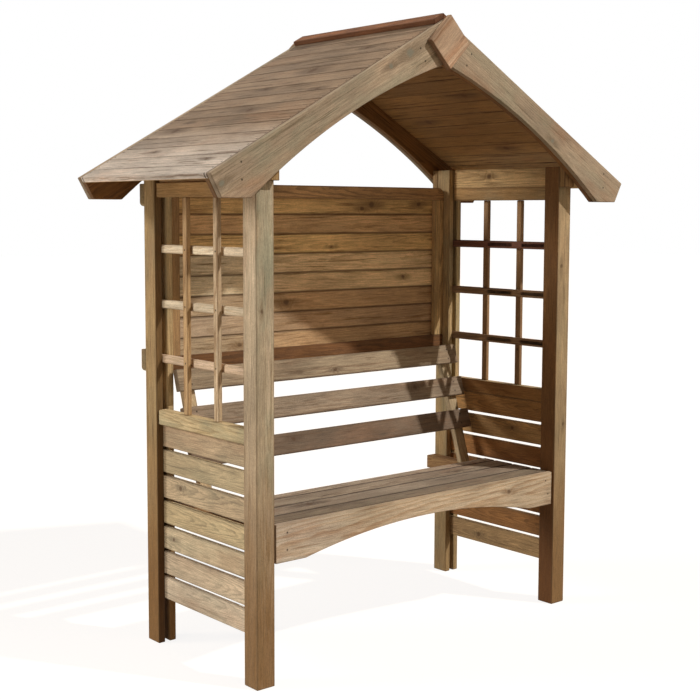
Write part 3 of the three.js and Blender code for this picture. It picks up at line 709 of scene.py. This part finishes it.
slope = math.radians(29.2)
fall = Vector((math.cos(slope), 0, -math.sin(slope)))
rise = Vector((math.sin(slope), 0, math.cos(slope)))
roof_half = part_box("roof_boards_right")[1].x
apex = Vector((0, 0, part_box("gable_board_front_right")[1].z))
slope_length = roof_half / math.cos(slope)
end_cut_depth = 0.07
level_cut = 0.092
crown_drop = 0.128
arch_bow = 0.038
gable_steps = 24
rafter_drop = 0.0173
gable_easing = 0.0025
ridge_half_gap = 0.00015
end_spare = 0.02


def cut_plumb():
    """In edit mode, cuts a timber at its end of the ridge, where it meets its twin."""
    bpy.ops.mesh.select_all(action="SELECT")
    bpy.ops.mesh.bisect(plane_co=(ridge_half_gap, 0, 0), plane_no=(1, 0, 0), use_fill=True,
                        clear_inner=True)


def turn_to(side):
    """In edit mode, mirrors a timber to the left slope where its side is the left one."""
    if side < 0:
        bpy.ops.mesh.select_all(action="SELECT")
        bpy.ops.transform.mirror(constraint_axis=(True, False, False), center_override=(0, 0, 0))
        bpy.ops.mesh.normals_make_consistent(inside=False)


def gable_timber(name, side, top, front, back):
    """A board with its upper edge on the slope and an arch along its lower edge."""
    heel = apex + fall * slope_length - rise * end_cut_depth
    level_end = Vector((heel.x - level_cut, 0, heel.z))
    crown = apex - Vector((0, 0, crown_drop))
    chord = crown - level_end
    middle = (level_end + crown) / 2 + 2 * arch_bow * Vector((chord.z, 0, -chord.x)).normalized()
    cuts = []
    for step in range(gable_steps + 1):
        share = step / gable_steps
        cuts.append((1 - share) ** 2 * crown + 2 * share * (1 - share) * middle + share ** 2 * level_end)
    ridge_top = apex.z + top / math.cos(slope)
    timber = sawn_square(name, (ridge_half_gap, front, heel.z), (roof_half + end_spare, back, ridge_top))
    bpy.ops.object.mode_set(mode="EDIT")
    for cut in cuts[1:]:
        bpy.ops.mesh.select_all(action="SELECT")
        bpy.ops.mesh.bisect(plane_co=(cut.x, 0, 0), plane_no=(1, 0, 0))
    bpy.ops.mesh.select_mode(type="VERT")
    for cut in cuts[:-1]:
        bpy.ops.mesh.select_all(action="DESELECT")
        bpy.ops.object.mode_set(mode="OBJECT")
        for vertex in timber.data.vertices:
            off_cut = abs(vertex.co.x - max(cut.x, ridge_half_gap))
            vertex.select = off_cut < 2 * close_by and vertex.co.z < heel.z + edge_band
        bpy.ops.object.mode_set(mode="EDIT")
        bpy.ops.transform.translate(value=(0, 0, cut.z - heel.z))
    bpy.ops.mesh.select_all(action="SELECT")
    bpy.ops.mesh.bisect(plane_co=apex + rise * top, plane_no=rise, use_fill=True, clear_outer=True)
    bpy.ops.mesh.select_all(action="SELECT")
    bpy.ops.mesh.bisect(plane_co=apex + fall * slope_length, plane_no=fall, use_fill=True, clear_outer=True)
    turn_to(side)
    bpy.ops.object.mode_set(mode="OBJECT")
    return timber


gable_knots = {("front", "left"): [(-0.291, 0.023, 0.011), (-0.208, 0.02, 0.006), (0.45, 0.01, 0.007)],
               ("front", "right"): [(0.1, -0.012, 0.006)], ("rear", "left"): [(-0.1, 0.01, 0.008)],
               ("rear", "right"): [(0.2, 0.0, 0.008)]}
gable_middle_drop = 0.05
gable_half = (slope_length / 2, 0.06, 0.009)
gable_nails = [(-0.333, 0.019), (-0.333, -0.02), (0.37, 0.03), (0.39, -0.01)]
rafter_looks = dict(early=(134, 94, 50), late=(92, 60, 28), contrast=0.6)
gable_looks = dict(early=(176, 153, 126), late=(140, 116, 86), contrast=0.35, green=0.4, warm=0.55,
                   knot_colour=(128, 126, 108), nails=gable_nails)
for end in ("front", "rear"):
    for hand, side in (("left", -1), ("right", 1)):
        down = Vector((side * fall.x, 0, fall.z))
        above = Vector((side * rise.x, 0, rise.z))
        for kind, top, slot, looks in (
                ("rafter", -rafter_drop, "rafters", rafter_looks),
                ("gable_board", 0.0, "gable_boards", dict(gable_looks, knots=gable_knots[end, hand]))):
            node = f"{kind}_{end}_{hand}"
            low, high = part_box(node)
            board = gable_timber(f"{kind}_{end}_{hand}_cut", side, top, low.y, high.y)
            ease_edges(board, gable_easing)
            middle = apex + down * slope_length / 2 - above * gable_middle_drop
            middle.y = (low.y + high.y) / 2
            give_wood(board, node, slot, down, above, gable_half, middle, pith=(-0.03, 0.04),
                      lean=(0.03, 0.02), rings=0.006, **looks)

# Roof boards: matched boards with a V joint, nailed down over the rafters between the gable boards.
# The top board of each slope is wider. They have weathered to a greyish tan with dark knots.
end_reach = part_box("roof_boards_left")[1].y
board_thick = 0.017
top_board = 0.073
board_cover = 0.0626
nail_from_end = 0.009
least_board = 0.005
nail_reach = end_reach - nail_from_end
roof_nails = [(along, across) for along in (-nail_reach, nail_reach) for across in (-0.016, 0.016)]
roof_knots = {-1: [(-0.041, 0.288, 0.014), (-0.039, 0.542, 0.012), (0.202, 0.654, 0.013),
                   (-0.226, 0.437, 0.008), (0.059, 0.398, 0.008), (0.256, 0.06, 0.008), (0.2, 0.6, 0.006),
                   (-0.218, 0.848, 0.006), (-0.15, 0.155, 0.007), (0.12, 0.79, 0.005)],
              1: [(0.1, 0.2, 0.011), (-0.12, 0.35, 0.01), (0.16, 0.48, 0.012), (-0.05, 0.66, 0.009),
                  (0.2, 0.85, 0.01)]}
for hand, side in (("left", -1), ("right", 1)):
    node = f"roof_boards_{hand}"
    edges = [ridge_half_gap / math.cos(slope), top_board]
    while edges[-1] + board_cover < slope_length - least_board:
        edges.append(edges[-1] + board_cover)
    edges.append(slope_length)
    made = []
    for number, (upper, lower) in enumerate(zip(edges, edges[1:])):
        board = sawn_square(f"roof_board_{hand}_{number + 1}", (upper, -end_reach, apex.z - board_thick),
                            (lower, end_reach, apex.z))
        round_edges(board, joint_cut, 1, lambda middle: abs(middle.y) < edge_band)
        ease_edges(board, joint_easing, 2)
        bpy.ops.object.mode_set(mode="EDIT")
        bpy.ops.mesh.select_all(action="SELECT")
        bpy.ops.transform.rotate(value=-slope, orient_axis="Y", center_override=apex)
        if number == 0:
            cut_plumb()
        turn_to(side)
        bpy.ops.object.mode_set(mode="OBJECT")
        made.append(board)
    bpy.ops.object.select_all(action="DESELECT")
    for board in made:
        board.select_set(True)
    bpy.context.view_layer.objects.active = made[0]
    bpy.ops.object.join()
    roof = bpy.context.object
    roof.name = roof.data.name = f"roof_slope_{hand}"
    down = Vector((side * fall.x, 0, fall.z))
    knots = [(-side * along, across, size) for along, across, size in roof_knots[side]]
    # Their undersides are warmer and lighter, as unweathered wood and as painted light in the shade under
    # the roof. The boards also turn much paler towards the eaves.
    give_wood(roof, node, "roof_boards", (0, -side, 0), down, (end_reach, 2.0, board_thick), apex,
              early=(154, 133, 112), late=(112, 87, 65), pith=(0.0, -0.03), lean=(0.03, 0.03), rings=0.0045,
              contrast=0.35, streaks=0.95, knots=knots, boards=(top_board, board_cover), warm=0.3,
              rough=0.78, groove=0.3, nails=roof_nails, fresh=[(2, -1, (284, 256, 196))],
              worn=(1, 0.6, slope_length - 0.02, (0.92, 0.88, 0.8), (2.05, 2.4, 2.85)))

# Ridge caps: a narrow planed board nailed along each side of the ridge, cut plumb where the two
# meet. They are redder than the boards that they cover.
cap_reach = 0.036
cap_thick = 0.015
cap_easing = 0.002
cap_middle_rise = 0.008
for hand, side in (("left", -1), ("right", 1)):
    node = f"ridge_cap_{hand}"
    low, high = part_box(node)
    cap = sawn_square(f"ridge_strip_{hand}", (-2 * cap_thick, low.y, apex.z + clearance),
                      (cap_reach, high.y, apex.z + clearance + cap_thick))
    bpy.ops.object.mode_set(mode="EDIT")
    bpy.ops.mesh.select_all(action="SELECT")
    bpy.ops.transform.rotate(value=-slope, orient_axis="Y", center_override=apex)
    cut_plumb()
    turn_to(side)
    bpy.ops.object.mode_set(mode="OBJECT")
    ease_edges(cap, cap_easing)
    down = Vector((side * fall.x, 0, fall.z))
    middle = apex + down * cap_reach / 2 + Vector((0, 0, cap_middle_rise))
    give_wood(cap, node, "ridge_caps", (0, 1, 0), down, (high.y, cap_reach / 2, cap_thick / 2), middle,
              early=(142, 92, 56), late=(104, 62, 36), contrast=0.5, warm=0.2, knots=[(0.05, 0.0, 0.006)])

# Gable diamonds: a square plate set on its corner over the joint of the two gable boards, with the
# grain running up to the right and pale sapwood along two of its edges.
plate_easing = 0.0025
plate_half_thick = 0.009
for end in ("front", "rear"):
    node = f"gable_diamond_{end}"
    low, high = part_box(node)
    plate_half = (high.x - low.x) / 2 / math.sqrt(2)
    centre = (low + high) / 2
    plate = sawn_square(f"diamond_{end}", (-plate_half, low.y, centre.z - plate_half),
                        (plate_half, high.y, centre.z + plate_half))
    bpy.ops.object.mode_set(mode="EDIT")
    bpy.ops.mesh.select_all(action="SELECT")
    bpy.ops.transform.rotate(value=math.radians(45), orient_axis="Y", center_override=centre)
    bpy.ops.object.mode_set(mode="OBJECT")
    ease_edges(plate, plate_easing)
    half = (plate_half, plate_half, plate_half_thick)
    give_wood(plate, node, "gable_diamonds", (1, 0, 1), (-1, 0, 1), half, centre, early=(186, 156, 126),
              late=(156, 112, 78), pith=(0.0, -0.12), lean=(0.0, 0.02), rings=0.009, contrast=0.5,
              warm=0.6, worn=(1, -0.06, 0.06, (1.25, 1.3, 1.35), (0.9, 0.88, 0.86)))

# Where it stands: a plain pale floor that looks white and keeps the shadow, under a high key light
# from the front right, with softer light from the front, the left and an even sky.
def seen_plainly(tree):
    """One for the rays that show a surface itself, straight or in a mirror or glass, else nothing."""
    rays = tree.nodes.new("ShaderNodeLightPath")
    bent = figure(tree, "MAXIMUM", rays.outputs["Is Glossy Ray"], rays.outputs["Is Transmission Ray"])
    return figure(tree, "MAXIMUM", rays.outputs["Is Camera Ray"], bent)


floor_size = 60
bpy.ops.object.select_all(action="DESELECT")
bpy.ops.mesh.primitive_plane_add(size=floor_size, location=(0, 0, 0))
floor = bpy.context.object
floor.name = "floor"
floor_paint = bpy.data.materials.new("floor_paint")
floor_paint.use_nodes = True
tree = floor_paint.node_tree
tree.nodes.clear()
matt = wire(tree, "ShaderNodeBsdfDiffuse", [("Color", (0.26, 0.21, 0.16, 1))])
floor_glow = figure(tree, "MULTIPLY", seen_plainly(tree), 0.87)
glow = wire(tree, "ShaderNodeEmission", [("Color", (1, 1, 1, 1)), ("Strength", floor_glow)])
both = wire(tree, "ShaderNodeAddShader", [(0, matt), (1, glow)])
wire(tree, "ShaderNodeOutputMaterial", [("Surface", both)])
floor.data.materials.append(floor_paint)

world = bpy.data.worlds.new("studio")
bpy.context.scene.world = world
world.use_nodes = True
sky = world.node_tree
sky.nodes.clear()
shine = tint(sky, seen_plainly(sky), (0.13, 0.102, 0.074, 1), (1, 1, 1, 1))
glow = wire(sky, "ShaderNodeBackground", [("Color", shine), ("Strength", 1.0)])
wire(sky, "ShaderNodeOutputWorld", [("Surface", glow)])

lamp_distance = 4


def lamp(name, kind, energy, towards_light, **settings):
    """A light that shines on the object from the given direction."""
    light = bpy.data.lights.new(name, kind)
    light.energy = energy
    for setting, value in settings.items():
        setattr(light, setting, value)
    holder = bpy.data.objects.new(name, light)
    bpy.context.scene.collection.objects.link(holder)
    holder.rotation_euler = Vector(towards_light).to_track_quat("Z", "Y").to_euler()
    holder.location = Vector(towards_light).normalized() * lamp_distance
    return holder


lamp("key", "SUN", 2.5, (0.605, -1.0, 1.09), angle=math.radians(1.5))
lamp("front_fill", "SUN", 0.55, (0.35, -1.0, 0.2), angle=math.radians(40), color=(1.0, 0.87, 0.74))
lamp("side_fill", "SUN", 1.6, (-0.75, 0.5, 0.38), angle=math.radians(16))
panel = lamp("side_panel", "AREA", 8.0, (-1, 0, 0), shape="SQUARE", size=1.2)
panel.location = (-1.9, 0.0, 0.7)

# Camera: at chest height off the front left corner, 4 m away, with a longish lens. Its focal length
# and the centre of its view are in pixels of a picture 700 pixels wide.
picture_width = 700
focal_length = 1271.3
centre_across, centre_down = 343.1, 327.6
lens = bpy.data.cameras.new("camera")
lens.sensor_width = 36
lens.lens = focal_length / picture_width * lens.sensor_width
lens.shift_x = (picture_width / 2 - centre_across) / picture_width
lens.shift_y = -(picture_width / 2 - centre_down) / picture_width
camera = bpy.data.objects.new("camera", lens)
bpy.context.scene.collection.objects.link(camera)
camera.location = (-2.6037, -2.9789, 1.2928)
camera.rotation_euler = (1.47998, -0.00289, -0.69906)
bpy.context.scene.camera = camera

bpy.context.scene.view_settings.view_transform = "Standard"
